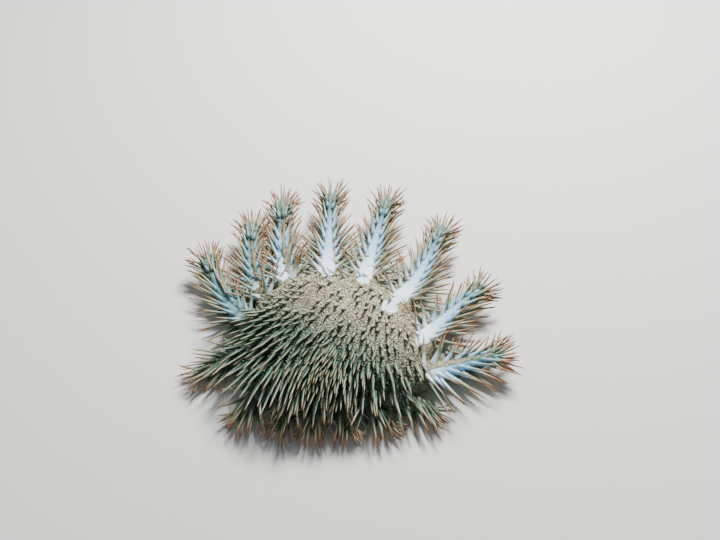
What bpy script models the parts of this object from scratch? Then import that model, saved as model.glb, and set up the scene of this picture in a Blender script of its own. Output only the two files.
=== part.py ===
# Crown of thorns starfish, life size, at rest with its far arms spread and its near arms drawn in.
# Sizes are in millimetres and are turned into metres when a mesh is made.
# +Y is the far side of the animal, +Z is up and the floor is z = 0.
import math
import random

import bmesh
import bpy
from mathutils import Matrix, Vector
from mathutils.bvhtree import BVHTree

MM = 0.001
SEED = 7

# Disc
DISC_R = 92.0
NEAR_R = 51.0
ROUNDING = 5.0
DISC_BOTTOM = 6.0
DISC_HEIGHT = 42.0
TILT = 0.06
LOBE = 0.045
# Rings of the disc from the middle of its top round the rim to the mouth: part of the radius,
# part of the height
DISC_RINGS = (
    (0.22, 0.995), (0.45, 0.965), (0.66, 0.895), (0.82, 0.78), (0.93, 0.61), (0.99, 0.42),
    (0.985, 0.24), (0.91, 0.07), (0.74, 0.0), (0.45, -0.01), (0.19, 0.0), (0.11, 0.10),
)
# The first of these rings are on the top side, and the last ones on the underside
TOP_RINGS = 6
UNDER_RING = 8
DISC_GROOVE = 2.2
MOUTH_DEPTH = 0.22
# Columns of the disc in each step from arm to arm: part of the step, groove, swell
DISC_COLUMNS = ((0.0, 1.0, 1.0), (0.28, 0.0, 0.6), (0.72, 0.0, 0.6))

# Joint between disc and arms
GAP = 0.45
ROOT_START = -8.0

# Arm section: part of the half width, part of the height, from the groove round one side to the ridge
SECTION = ((0.0, 0.15), (0.26, 0.0), (0.86, 0.0), (1.0, 0.42), (0.76, 0.80), (0.32, 0.985), (0.0, 1.0))
ARM_STATIONS = 8
LAST_STATION = 0.96
TIP_RING = 0.62
TIP_POINT = 1.5
WALK_STEPS = 24
TIP_HALF_WIDTH = 5.2
WIDTH_POWER = 1.3
TIP_HEIGHT = 10.5
ROOT_BOTTOM = 5.0
REST_FROM = 0.34
REST_TO = 0.66

# Arms clockwise from the far left: root angle, heading at root and at tip (degrees from +Y),
# plan length, root half width, ridge height at root, middle and tip
ARMS = (
    ("arm_01", -92.6, -106.0, -119.0, 33.0, 13.0, 31.0, 20.0, 14.0),
    ("arm_02", -67.0, -47.0, -21.0, 86.0, 13.2, 31.0, 22.0, 32.0),
    ("arm_03", -48.8, -30.0, 5.0, 92.0, 13.2, 32.0, 22.0, 34.0),
    ("arm_04", -30.0, -16.0, 3.0, 101.0, 14.0, 33.0, 22.0, 36.0),
    ("arm_05", -3.4, -1.0, 2.4, 100.0, 17.0, 33.0, 22.0, 37.0),
    ("arm_06", 21.5, 9.0, 19.5, 100.0, 17.0, 33.0, 22.0, 37.0),
    ("arm_07", 50.0, 31.0, 26.0, 95.0, 16.5, 33.0, 22.0, 36.0),
    ("arm_08", 82.4, 34.0, 59.0, 82.0, 14.5, 32.0, 22.0, 31.0),
    ("arm_09", 105.0, 66.0, 82.0, 74.0, 13.5, 30.0, 22.0, 25.0),
    ("arm_10", 127.0, 112.0, 94.0, 36.0, 12.2, 28.0, 18.0, 14.0),
    ("arm_11", 146.0, 138.0, 124.0, 24.0, 10.6, 26.0, 17.0, 12.0),
    ("arm_12", 168.0, 164.0, 158.0, 20.0, 10.0, 26.0, 17.0, 12.0),
    ("arm_13", 192.0, 191.0, 196.0, 20.0, 10.0, 26.0, 17.0, 12.0),
    ("arm_14", 214.0, 214.0, 220.0, 20.0, 10.2, 26.0, 17.0, 12.0),
    ("arm_15", 236.0, 230.0, 232.0, 21.0, 11.6, 28.0, 18.0, 13.0),
)

# Spines: a sunk root and an even taper to the point
SPINE_SIDES = 3
SPINE_ROOT_R = 2.1
SPINE_SUNK = 3.2
CLEARANCE = 0.45
CHECKED_POINTS = 10
SEARCH_R = 80.0
FLOOR_CLEARANCE = 0.8
TRIES = 16
TRY_LIFT = 0.11
TRY_SHORTER = 0.955

# Arm spines, on each side of the bare ridge: shift of the row in steps, part of the half width,
# part of the height, lean outward, upward and forward, length
ARM_STEP = 14.5
ARM_ROWS = (
    (0.25, 0.97, 0.46, 0.90, 0.14, 0.70, 30.0),
    (0.75, 0.60, 0.90, 0.52, 0.55, 0.85, 28.0),
)
NEAR_ROWS = (
    (0.30, 0.97, 0.50, 0.80, -0.15, 0.80, 23.0),
    (0.75, 0.60, 0.90, 0.38, 0.00, 0.95, 25.0),
)
FORWARD_AT_ROOT = 0.6
FORWARD_AT_TIP = 0.75
TIP_FAN = 5
TIP_FAN_SPREAD = 62.0
TIP_FAN_RISE = 0.30
TIP_SPINE = 23.0
NEAR_TIP_SPINE = 18.0
NEAR_LENGTH = 60.0
VARIED = 0.12

# Disc spines: long and leaning on the near left, short and upright on the far right
DISC_SPINES = 176
DISC_EDGE = 0.96
GOLDEN_ANGLE = 137.508
SHORT_SPINE = 10.0
LONG_SPINE = 29.0
NEAR_LEFT = (-0.45, -0.89)
GROW_FROM = -0.30
GROW_TO = 0.72
SHORT_LEAN = 0.40
LONG_LEAN = 1.35
LEAN_FROM = -0.30
LEAN_TO = 0.15
LEAN_ANGLE = 240.0
LEAN_PER_X = 0.25
LEAN_PER_Y = -0.22

# Tube feet
FOOT_R = 1.6
FOOT_NARROW = 0.8
FOOT_SIDES = 4
FOOT_SUNK = 3.0
FOOT_STEP = 15.0
FOOT_FROM = 9.0
FOOT_UNTIL = 0.93
FOOT_ASIDE = 0.16
FOOT_DROP = 4.0
DISC_FOOT_AT = 0.55

# Edges between faces that meet more sharply than this stay sharp
SHARP_ANGLE = 50.0


def lerp(a, b, t):
    return a + (b - a) * t


def smoothstep(a, b, x):
    t = min(max((x - a) / (b - a), 0.0), 1.0)
    return t * t * (3.0 - 2.0 * t)


def heading(angle):
    a = math.radians(angle)
    return Vector((math.sin(a), math.cos(a), 0.0))


def outline(angle):
    # Plan radius of the disc: round, and flattened on the near side
    near = -math.cos(math.radians(angle))
    if near < 0.05:
        return DISC_R
    flat = NEAR_R / near
    return (DISC_R ** -ROUNDING + flat ** -ROUNDING) ** (-1.0 / ROUNDING)


def material(name, colour, roughness):
    mat = bpy.data.materials.new(name)
    mat.use_nodes = True
    shader = mat.node_tree.nodes["Principled BSDF"]
    shader.inputs["Base Color"].default_value = (*colour, 1.0)
    shader.inputs["Roughness"].default_value = roughness
    shader.inputs["Metallic"].default_value = 0.0
    return mat


def mesh_object(name, points, faces, target):
    mesh = bpy.data.meshes.new(name)
    mesh.from_pydata([p * MM for p in points], [], faces)
    bm = bmesh.new()
    bm.from_mesh(mesh)
    bmesh.ops.recalc_face_normals(bm, faces=bm.faces)
    bm.to_mesh(mesh)
    bm.free()
    obj = bpy.data.objects.new(name, mesh)
    target.objects.link(obj)
    return obj


def loft(rings, start, end):
    # Closed skin over rings of equal count, each end closed by a point
    points = [p for ring in rings for p in ring]
    count = len(rings[0])
    faces = []
    for i in range(len(rings) - 1):
        for j in range(count):
            k = (j + 1) % count
            a = i * count
            b = a + count
            faces.append((a + j, a + k, b + k))
            faces.append((a + j, b + k, b + j))
    last = (len(rings) - 1) * count
    points += [start, end]
    for j in range(count):
        k = (j + 1) % count
        faces.append((len(points) - 2, k, j))
        faces.append((len(points) - 1, last + j, last + k))
    return points, faces


def disc_angles():
    # One column on each arm's groove and two between it and the next arm
    angles = []
    roots = [arm[1] % 360.0 for arm in ARMS]
    roots.sort()
    for root, following in zip(roots, roots[1:] + [roots[0] + 360.0]):
        for part, groove, lobe in DISC_COLUMNS:
            angles.append((lerp(root, following, part), groove, lobe))
    return angles


def disc_rings(grow):
    angles = disc_angles()
    rings = []
    for index, (part, level) in enumerate(DISC_RINGS):
        ring = []
        for angle, groove, lobe in angles:
            swell = 1.0 + LOBE * (lobe - 0.6) * smoothstep(0.5, 1.0, part)
            reach = outline(angle) * part * swell + grow * smoothstep(0.5, 0.9, part)
            p = heading(angle) * reach
            p.z = DISC_BOTTOM + DISC_HEIGHT * level + TILT * p.y * level
            if index >= UNDER_RING and index < len(DISC_RINGS) - 1:
                p.z += DISC_GROOVE * groove
            p.z += grow if index < TOP_RINGS else -grow
            ring.append(p)
        rings.append(ring)
    return rings


def disc_skin(name, grow, target):
    rings = disc_rings(grow)
    top = Vector((0.0, 0.0, DISC_BOTTOM + DISC_HEIGHT + grow))
    mouth = Vector((0.0, 0.0, DISC_BOTTOM + DISC_HEIGHT * MOUTH_DEPTH - grow))
    points, faces = loft(rings, top, mouth)
    return mesh_object(name, points, faces, target)


def arm_station(arm, distance):
    # Middle line in plan, heading, half width, underside and ridge height at a distance from the root
    name, root, turn_a, turn_b, length, half, z_root, z_middle, z_tip = arm
    s = distance / length
    p = heading(root) * outline(root)
    for i in range(WALK_STEPS):
        t = s * (i + 0.5) / WALK_STEPS
        p = p + heading(lerp(turn_a, turn_b, t)) * (distance / WALK_STEPS)
    ridge = z_root * (1 - s) * (1 - 2 * s) + 4 * z_middle * s * (1 - s) + z_tip * s * (2 * s - 1)
    width = TIP_HALF_WIDTH + (half - TIP_HALF_WIDTH) * (1.0 - min(max(s, 0.0), 1.0)) ** WIDTH_POWER
    tip_bottom = max(z_tip - TIP_HEIGHT, 0.0)
    bottom = ROOT_BOTTOM * (1.0 - smoothstep(0.0, REST_FROM, s)) + tip_bottom * smoothstep(REST_TO, 1.06, s)
    return p, heading(lerp(turn_a, turn_b, s)), width, bottom, ridge


def arm_ring(arm, distance, scale=1.0):
    p, ahead, width, bottom, ridge = arm_station(arm, distance)
    side = Vector((ahead.y, -ahead.x, 0.0))
    middle = lerp(bottom, ridge, 0.5)
    whole = list(SECTION) + [(-u, v) for u, v in reversed(SECTION[1:-1])]
    ring = []
    for u, v in whole:
        q = p + side * (u * width * scale)
        q.z = middle + (lerp(bottom, ridge, v) - middle) * scale
        ring.append(q)
    return ring


def arm_skin(arm, target):
    length = arm[4]
    rings = [arm_ring(arm, ROOT_START)]
    for i in range(ARM_STATIONS):
        rings.append(arm_ring(arm, length * LAST_STATION * i / (ARM_STATIONS - 1)))
    rings.append(arm_ring(arm, length, TIP_RING))
    ends = []
    for distance in (ROOT_START, length + TIP_POINT):
        p, ahead, width, bottom, ridge = arm_station(arm, distance)
        ends.append(p + Vector((0.0, 0.0, lerp(bottom, ridge, 0.5))))
    points, faces = loft(rings, ends[0], ends[1])
    return mesh_object(arm[0], points, faces, target)


def boolean(obj, operation, cutter=None, group=None):
    mod = obj.modifiers.new(operation.title(), "BOOLEAN")
    mod.operation = operation
    mod.solver = "EXACT"
    if group is None:
        mod.operand_type = "OBJECT"
        mod.object = cutter
    else:
        mod.operand_type = "COLLECTION"
        mod.collection = group
    bpy.context.view_layer.update()
    graph = bpy.context.evaluated_depsgraph_get()
    mesh = bpy.data.meshes.new_from_object(obj.evaluated_get(graph))
    old = obj.data
    obj.modifiers.clear()
    obj.data = mesh
    bpy.data.meshes.remove(old)
    mesh.name = obj.name


def keep_largest(obj):
    # Only the largest closed surface stays
    bm = bmesh.new()
    bm.from_mesh(obj.data)
    left = set(bm.verts)
    islands = []
    while left:
        stack = [left.pop()]
        island = set(stack)
        while stack:
            for edge in stack.pop().link_edges:
                for vert in edge.verts:
                    if vert in left:
                        left.discard(vert)
                        island.add(vert)
                        stack.append(vert)
        islands.append(island)
    islands.sort(key=len, reverse=True)
    for island in islands[1:]:
        bmesh.ops.delete(bm, geom=list(island), context="VERTS")
    bm.to_mesh(obj.data)
    bm.free()


def cone(name, start, end, radius_start, radius_end, sides, target):
    # A closed cone from one point to another
    axis = end - start
    turn = axis.to_track_quat("Z", "Y").to_matrix().to_4x4()
    place = Matrix.Translation((start + end) * (0.5 * MM)) @ turn
    bm = bmesh.new()
    bmesh.ops.create_cone(
        bm, cap_ends=True, segments=sides, radius1=radius_start * MM, radius2=radius_end * MM,
        depth=axis.length * MM, matrix=place,
    )
    mesh = bpy.data.meshes.new(name)
    bm.to_mesh(mesh)
    bm.free()
    target.objects.link(bpy.data.objects.new(name, mesh))


def tube_foot(x, y, low, top, target):
    # One tube foot, its sucker flat on the floor
    sole = Vector((x, y, low))
    cone("tube_foot", sole, Vector((x, y, top)), FOOT_R, FOOT_R * FOOT_NARROW, FOOT_SIDES, target)


def arm_feet(arm, target):
    # Feet in two rows, left and right by turns
    length = arm[4]
    distance = FOOT_FROM
    turn = 1.0
    while distance < length * FOOT_UNTIL:
        p, ahead, width, bottom, ridge = arm_station(arm, distance)
        q = p + Vector((ahead.y, -ahead.x, 0.0)) * (FOOT_ASIDE * width * turn)
        roof = lerp(bottom, ridge, SECTION[0][1])
        tube_foot(q.x, q.y, max(0.0, bottom - FOOT_DROP), roof + FOOT_SUNK, target)
        turn = -turn
        distance += FOOT_STEP


def disc_feet(target):
    for arm in ARMS:
        p = heading(arm[1]) * (outline(arm[1]) * DISC_FOOT_AT)
        tube_foot(p.x, p.y, 0.0, DISC_BOTTOM + DISC_GROOVE + FOOT_SUNK, target)


def tree_of(objects):
    points = []
    faces = []
    for obj in objects:
        first = len(points)
        points += [v.co / MM for v in obj.data.vertices]
        faces += [tuple(first + i for i in poly.vertices) for poly in obj.data.polygons]
    return BVHTree.FromPolygons(points, faces)


def spine_gap(a, b, c, d):
    # Least distance between the segments a-b and c-d, less the taper of the spines on them
    u = b - a
    v = d - c
    w = a - c
    uu = u.dot(u)
    uv = u.dot(v)
    vv = v.dot(v)
    uw = u.dot(w)
    vw = v.dot(w)
    det = uu * vv - uv * uv
    s = 0.0 if det < 1e-9 else min(max((uv * vw - vv * uw) / det, 0.0), 1.0)
    t = min(max((uv * s + vw) / vv, 0.0), 1.0)
    s = min(max((uv * t - uw) / uu, 0.0), 1.0)
    return (a + u * s - c - v * t).length - SPINE_ROOT_R * (2.0 - s - t)


def fits(node, root, axis, length, others, placed):
    # A spine keeps clear of the floor, of the other bodies and of their spines
    tip = root + axis * length
    if tip.z < FLOOR_CLEARANCE:
        return False
    start = root - axis * SPINE_SUNK
    if others.ray_cast(start, axis, length + SPINE_SUNK)[0] is not None:
        return False
    for i in range(CHECKED_POINTS):
        t = i / (CHECKED_POINTS - 1)
        if others.find_nearest(start.lerp(tip, t), SPINE_ROOT_R * (1.0 - t) + CLEARANCE)[0] is not None:
            return False
    for owner, first, last in placed:
        if owner != node and (first - root).length < SEARCH_R:
            if spine_gap(first, last, start, tip) < CLEARANCE:
                return False
    return True


def plant(node, root, axis, length, others, placed, target):
    # Sets one spine, lifted and shortened until it is clear, or leaves it out
    for attempt in range(TRIES):
        if fits(node, root, axis, length, others, placed):
            start = root - axis * SPINE_SUNK
            tip = root + axis * length
            cone("spine", start, tip, SPINE_ROOT_R, 0.0, SPINE_SIDES, target)
            placed.append((node, start, tip))
            return
        axis = (axis + Vector((0.0, 0.0, TRY_LIFT))).normalized()
        length *= TRY_SHORTER


def jitter(rng, amount):
    return Vector([rng.uniform(-amount, amount) for i in range(3)])


def arm_spines(arm, rng, others, placed, target):
    node, length = arm[0], arm[4]
    near = length < NEAR_LENGTH
    rows = NEAR_ROWS if near else ARM_ROWS
    count = max(2, round(length / ARM_STEP))
    for i in range(count):
        for sign in (-1.0, 1.0):
            for shift, u, v, out, up, forward, long in rows:
                distance = length * (i + shift) / count
                p, ahead, width, bottom, ridge = arm_station(arm, distance)
                side = Vector((ahead.y, -ahead.x, 0.0))
                root = p + side * (u * width * sign)
                root.z = lerp(bottom, ridge, v)
                lean = forward * lerp(FORWARD_AT_ROOT, 1.0, smoothstep(0.0, 0.5, distance / length))
                lean += FORWARD_AT_TIP * smoothstep(0.4, 1.0, distance / length)
                axis = side * (out * sign) + ahead * lean + Vector((0.0, 0.0, up)) + jitter(rng, 0.12)
                reach = long * rng.uniform(1.0 - VARIED, 1.0 + VARIED)
                plant(node, root, axis.normalized(), reach, others, placed, target)
    p, ahead, width, bottom, ridge = arm_station(arm, length * 0.97)
    middle = lerp(bottom, ridge, 0.6)
    for i in range(TIP_FAN):
        turn = lerp(-TIP_FAN_SPREAD, TIP_FAN_SPREAD, i / (TIP_FAN - 1))
        level = math.degrees(math.atan2(ahead.x, ahead.y)) + turn
        axis = heading(level)
        root = p + axis * (width * 0.55)
        root.z = middle
        rise = TIP_FAN_RISE * (0.4 + i % 2) * (0.2 if near else 1.0)
        axis = (axis + Vector((0.0, 0.0, rise)) + jitter(rng, 0.08)).normalized()
        long = NEAR_TIP_SPINE if near else TIP_SPINE
        reach = long * rng.uniform(1.0 - VARIED, 1.0 + VARIED)
        plant(node, root, axis, reach, others, placed, target)


def disc_spines(rng, own, others, placed, target):
    for i in range(DISC_SPINES):
        angle = i * GOLDEN_ANGLE
        reach = outline(angle % 360.0) * DISC_EDGE * math.sqrt((i + 0.5) / DISC_SPINES)
        p = heading(angle) * reach
        hit, normal, face, away = own.ray_cast(Vector((p.x, p.y, 200.0)), Vector((0.0, 0.0, -1.0)))
        near_left = (NEAR_LEFT[0] * p.x + NEAR_LEFT[1] * p.y) / DISC_R
        grow = smoothstep(GROW_FROM, GROW_TO, near_left)
        a = math.radians(LEAN_ANGLE + LEAN_PER_X * p.x + LEAN_PER_Y * p.y)
        strength = lerp(SHORT_LEAN, LONG_LEAN, smoothstep(LEAN_FROM, LEAN_TO, near_left))
        lean = Vector((math.cos(a), math.sin(a), 0.0)) * strength
        axis = (normal + lean + jitter(rng, 0.1)).normalized()
        length = lerp(SHORT_SPINE, LONG_SPINE, grow) * rng.uniform(1.0 - VARIED, 1.0 + VARIED)
        plant("disc", hit, axis, length, others, placed, target)


def stand_over_origin(group):
    # Centres the animal's box over the origin in plan
    low = Vector((1e9, 1e9, 1e9))
    high = -low
    for obj in group.objects:
        for v in obj.data.vertices:
            low = Vector(map(min, low, v.co))
            high = Vector(map(max, high, v.co))
    middle = (low + high) * 0.5
    middle.z = 0.0
    total = 0
    for obj in group.objects:
        for v in obj.data.vertices:
            v.co -= middle
        obj.data.calc_loop_triangles()
        total += len(obj.data.loop_triangles)
    print("middle", tuple(round(c / MM, 3) for c in middle), "size", (high - low) / MM, "triangles", total)
    p, ahead, width, bottom, ridge = arm_station(ARMS[4], 0.48 * ARMS[4][4])
    rest = p + Vector((ahead.y, -ahead.x, 0.0)) * (0.56 * width) - middle / MM
    print("flat under arm_05", tuple(round(c, 2) for c in rest))


def clear_scene():
    for obj in list(bpy.data.objects):
        bpy.data.objects.remove(obj, do_unlink=True)


def main():
    clear_scene()
    body = bpy.data.collections.new("crown_of_thorns_starfish")
    cutters = bpy.data.collections.new("cutters")
    bpy.context.scene.collection.children.link(body)
    bpy.context.scene.collection.children.link(cutters)
    disc_mat = material("disc_skin", (0.55, 0.52, 0.42), 0.6)
    arm_mat = material("arm_skin", (0.47, 0.58, 0.60), 0.55)

    disc = disc_skin("disc", 0.0, body)
    grown = disc_skin("disc_grown", GAP, cutters)
    grown.hide_render = True
    grown.display_type = "WIRE"
    arms = []
    for arm in ARMS:
        obj = arm_skin(arm, body)
        boolean(obj, "DIFFERENCE", cutter=grown)
        keep_largest(obj)
        arms.append(obj)

    # Every spine and foot is a closed solid of its own, gathered by the body that carries it
    rng = random.Random(SEED)
    placed = []
    coats = {}
    bodies = [disc] + arms
    for obj in bodies:
        coats[obj.name] = bpy.data.collections.new(obj.name + "_coat")
        cutters.children.link(coats[obj.name])
    disc_spines(rng, tree_of([disc]), tree_of(arms), placed, coats["disc"])
    disc_feet(coats["disc"])
    for arm, obj in zip(ARMS, arms):
        others = tree_of([other for other in bodies if other != obj])
        arm_spines(arm, rng, others, placed, coats[obj.name])
        arm_feet(arm, coats[obj.name])
    print("spines", len(placed))

    for obj in bodies:
        boolean(obj, "UNION", group=coats[obj.name])
        keep_largest(obj)
        for piece in list(coats[obj.name].objects):
            bpy.data.objects.remove(piece, do_unlink=True)
        bpy.data.collections.remove(coats[obj.name])
        obj.data.materials.clear()
        obj.data.materials.append(disc_mat if obj == disc else arm_mat)
        obj.data.shade_smooth()
        obj.data.set_sharp_from_angle(angle=math.radians(SHARP_ANGLE))
    stand_over_origin(body)


main()
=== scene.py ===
# %% [markdown]
# # Crown of thorns starfish
# This lesson dresses the packed solid model of a crown of thorns starfish so that it looks alive: one
# unbroken skin over the disc and its arms, long pointed spines, small soft skin gills and tube feet.
# The solid model gives the true places and sizes, so the lesson starts by loading it.

# %% Load the solid model
import math
import random

import bmesh
import bpy
import numpy as np
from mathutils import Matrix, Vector
from mathutils.bvhtree import BVHTree


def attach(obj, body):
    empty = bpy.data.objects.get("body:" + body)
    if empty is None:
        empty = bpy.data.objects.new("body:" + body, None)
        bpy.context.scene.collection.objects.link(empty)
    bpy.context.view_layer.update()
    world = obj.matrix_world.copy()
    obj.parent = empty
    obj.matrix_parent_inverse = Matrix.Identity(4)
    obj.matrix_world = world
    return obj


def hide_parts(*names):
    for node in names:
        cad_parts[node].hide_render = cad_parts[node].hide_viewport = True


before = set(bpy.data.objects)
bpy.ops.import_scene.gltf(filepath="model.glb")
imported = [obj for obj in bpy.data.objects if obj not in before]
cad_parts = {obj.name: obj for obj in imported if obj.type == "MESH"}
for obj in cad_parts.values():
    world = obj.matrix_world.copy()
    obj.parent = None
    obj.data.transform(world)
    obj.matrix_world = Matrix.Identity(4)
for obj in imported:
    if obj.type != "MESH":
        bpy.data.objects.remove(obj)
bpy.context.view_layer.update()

# %% [markdown]
# All sizes below are in millimetres. The drawing starts from the middle of the disc, while the solid
# model stands with the middle of its box over the origin, so one shift takes the drawing to the model.
# Seen from above the disc is round but flattened on its near side, and its outline blends the two.

# %% Outline of the disc
MM = 0.001
MIDDLE = Vector((11.712, 61.858, 0.0))
SEED = 11
rng = random.Random(SEED)

DISC_R = 92.0
NEAR_R = 51.0
ROUNDING = 5.0
FLAT_FROM = 0.05


def lerp(a, b, t):
    return a + (b - a) * t


def smoothstep(a, b, x):
    t = np.clip((np.asarray(x, dtype=float) - a) / (b - a), 0.0, 1.0)
    return t * t * (3.0 - 2.0 * t)


def ease(a, b, x):
    return float(smoothstep(a, b, x))


def heading(angle):
    # 0 is the far side, and angles grow clockwise as seen from above
    a = math.radians(angle)
    return Vector((math.sin(a), math.cos(a), 0.0))


def outline(angle):
    near = -math.cos(math.radians(angle))
    if near < FLAT_FROM:
        return DISC_R
    flat = NEAR_R / near
    return (DISC_R ** -ROUNDING + flat ** -ROUNDING) ** (-1.0 / ROUNDING)


print("disc radius far and near:", outline(0.0), round(outline(180.0), 1))

# %% [markdown]
# The camera comes first, so that every later choice can be judged in the right view. The animal is seen
# from above and in front, with the near edge of the disc falling away from the eye. The place is worked
# out from the pixel where the middle of the disc should land in a picture of 720 by 540.

# %% Camera
PICTURE = (720, 540)
SENSOR = 36.0
ELEVATION = 54.0
LENS = 35.0
DISTANCE = 0.665
DISC_PIXEL = (330, 342)
DISC_MIDDLE_HEIGHT = 40.0


def new_object(name, data):
    obj = bpy.data.objects.new(name, data)
    bpy.context.scene.collection.objects.link(obj)
    return obj


camera = new_object("camera", bpy.data.cameras.new("camera"))
camera.data.lens = LENS
camera.data.sensor_width = SENSOR
camera.rotation_euler = (math.radians(90.0 - ELEVATION), 0.0, 0.0)
right = Vector((1.0, 0.0, 0.0))
look = Vector((0.0, math.cos(math.radians(ELEVATION)), -math.sin(math.radians(ELEVATION))))
rise = right.cross(look)
focal_pixels = LENS / SENSOR * PICTURE[0]
aim = (Vector((0.0, 0.0, DISC_MIDDLE_HEIGHT)) - MIDDLE) * MM
offset = right * ((DISC_PIXEL[0] - PICTURE[0] / 2) / focal_pixels * DISTANCE)
offset -= rise * ((DISC_PIXEL[1] - PICTURE[1] / 2) / focal_pixels * DISTANCE)
camera.location = aim - look * DISTANCE - offset
bpy.context.scene.camera = camera
print("camera height in mm:", round(camera.location.z * 1000))

# %% [markdown]
# This animal has fifteen arms: nine lie free, and six are drawn in under the near rim. One row of numbers
# places each, so they are kept as a table. An arm is widest where it leaves the disc, sags to the ground
# halfway, and lifts its tip.

# %% Table of the arms
TIP_HALF_WIDTH = 5.2
WIDTH_POWER = 1.3
TIP_HEIGHT = 10.5
ROOT_BOTTOM = 5.0
REST_FROM = 0.34
REST_TO = 0.66
LIFTED_AT = 1.06
NEAR_LENGTH = 60.0

# Root angle, heading at root and at tip, plan length, half width at root, ridge at root, middle and tip
ARMS = (
    (-92.6, -106, -119, 33, 13, 31, 20, 14),
    (-67, -47, -21, 86, 13.2, 31, 22, 32),
    (-48.8, -30, 5, 92, 13.2, 32, 22, 34),
    (-30, -16, 3, 101, 14, 33, 22, 36),
    (-3.4, -1, 2.4, 100, 17, 33, 22, 37),
    (21.5, 9, 19.5, 100, 17, 33, 22, 37),
    (50, 31, 26, 95, 16.5, 33, 22, 36),
    (82.4, 34, 59, 82, 14.5, 32, 22, 31),
    (105, 66, 82, 74, 13.5, 30, 22, 25),
    (127, 112, 94, 36, 12.2, 28, 18, 14),
    (146, 138, 124, 24, 10.6, 26, 17, 12),
    (168, 164, 158, 20, 10, 26, 17, 12),
    (192, 191, 196, 20, 10, 26, 17, 12),
    (214, 214, 220, 20, 10.2, 26, 17, 12),
    (236, 230, 232, 21, 11.6, 28, 18, 13),
)
print("arms:", len(ARMS))

# %% [markdown]
# Both the skin and all that grows on it need to know where an arm runs. Each arm's middle line is walked
# once from its root to its tip and kept as a table of places, headings, widths and heights, which can
# then be read at any distance.

# %% Middle lines of the arms
ROOT_START = -24.0
PAST_TIP = 2.0
SAMPLES = 72
WALK_STEPS = 24
# How far the ridge rises inside the disc, as a part of its drop outside, and how soon
RISE_INSIDE = 0.12
RISE_RATE = 4.0


def to_the_right(ahead):
    return Vector((ahead.y, -ahead.x, 0.0))


class ArmLine:
    def __init__(self, row):
        root, turn_a, turn_b, self.length, half, z_root, z_middle, z_tip = row
        self.near = self.length < NEAR_LENGTH
        self.distance = np.linspace(ROOT_START, self.length + PAST_TIP, SAMPLES)
        table = []
        for d in self.distance:
            s = d / self.length
            p = heading(root) * outline(root)
            for i in range(WALK_STEPS):
                turn = lerp(turn_a, turn_b, s * (i + 0.5) / WALK_STEPS)
                p = p + heading(turn) * (d / WALK_STEPS)
            ridge = z_root * (1 - s) * (1 - 2 * s) + 4 * z_middle * s * (1 - s) + z_tip * s * (2 * s - 1)
            if s < 0.0:
                ridge = z_root + RISE_INSIDE * (z_root - z_middle) * min(-s * RISE_RATE, 1.0)
            width = TIP_HALF_WIDTH + (half - TIP_HALF_WIDTH) * (1.0 - min(max(s, 0.0), 1.0)) ** WIDTH_POWER
            tip_bottom = max(z_tip - TIP_HEIGHT, 0.0)
            bottom = ROOT_BOTTOM * (1.0 - ease(0.0, REST_FROM, s)) + tip_bottom * ease(REST_TO, LIFTED_AT, s)
            ahead = heading(lerp(turn_a, turn_b, s))
            table.append((p.x, p.y, ahead.x, ahead.y, width, bottom, ridge, s))
        self.table = np.array(table)

    def at(self, d):
        row = [float(np.interp(d, self.distance, self.table[:, k])) for k in range(7)]
        ahead = Vector((row[2], row[3], 0.0)).normalized()
        return Vector((row[0], row[1], 0.0)), ahead, to_the_right(ahead), row[4], row[5], row[6]


arm_lines = [ArmLine(row) for row in ARMS]
print("longest arm in mm:", max(line.length for line in arm_lines))

# %% [markdown]
# A living starfish has one skin that runs from the disc out along every arm. Fifteen arms at odd angles
# make one subdivided cage hard to lay out, so the disc and the arms are lofted apart, set into each other,
# and joined afterwards. A loft needs a smooth curve through a few points, and faces from ring to ring.

# %% Curves and lofts
def through(points, substeps, closed=False):
    # Catmull-Rom curve through the points
    pts = [np.array(p, dtype=float) for p in points]
    pts = pts[-1:] + pts + pts[:2] if closed else pts[:1] + pts + pts[-1:]
    out = []
    for p0, p1, p2, p3 in zip(pts, pts[1:], pts[2:], pts[3:]):
        for k in range(substeps):
            t = k / substeps
            out.append(0.5 * (2 * p1 + (p2 - p0) * t + (2 * p0 - 5 * p1 + 4 * p2 - p3) * t * t
                              + (3 * p1 - p0 - 3 * p2 + p3) * t ** 3))
    return out if closed else out + pts[-1:]


def loft(rings, faces, points):
    first = len(points)
    count = len(rings[0])
    for ring in rings:
        points.extend(ring)
    for i in range(len(rings) - 1):
        for j in range(count):
            a, b = first + i * count, first + (i + 1) * count
            k = (j + 1) % count
            faces.append((a + j, a + k, b + k, b + j))
    faces.append(tuple(range(first, first + count))[::-1])
    last = first + (len(rings) - 1) * count
    faces.append(tuple(range(last, last + count)))


print("points of a curve through 3:", len(through(((0, 0), (1, 1), (2, 0)), 4)))

# %% [markdown]
# The disc is a low dome with a rounded rim and a hollow for the mouth below. Its half section is swept
# round in many columns. The rim swells a little where an arm leaves, and below a shallow groove runs out
# to each arm.

# %% Disc
DISC_COLUMNS = 180
DISC_BOTTOM = 6.0
DISC_HEIGHT = 42.0
TILT = 0.06
LOBE = 0.045
LOBE_HALF_ANGLE = 8.0
MOUTH_DEPTH = 0.22
GROOVE_DEPTH = 3.08
GROOVE_HALF_ANGLE = 3.2
UNDER_FROM = 0.58
SUBSTEPS = 4
# Half section from the top to the mouth: part of the radius, part of the height
DISC_PROFILE = (
    (0.0, 1.0), (0.22, 0.995), (0.45, 0.965), (0.66, 0.895), (0.82, 0.78), (0.93, 0.61), (0.99, 0.42),
    (0.985, 0.24), (0.91, 0.07), (0.74, 0.0), (0.45, -0.01), (0.19, 0.0), (0.11, 0.10), (0.0, MOUTH_DEPTH),
)


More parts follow.
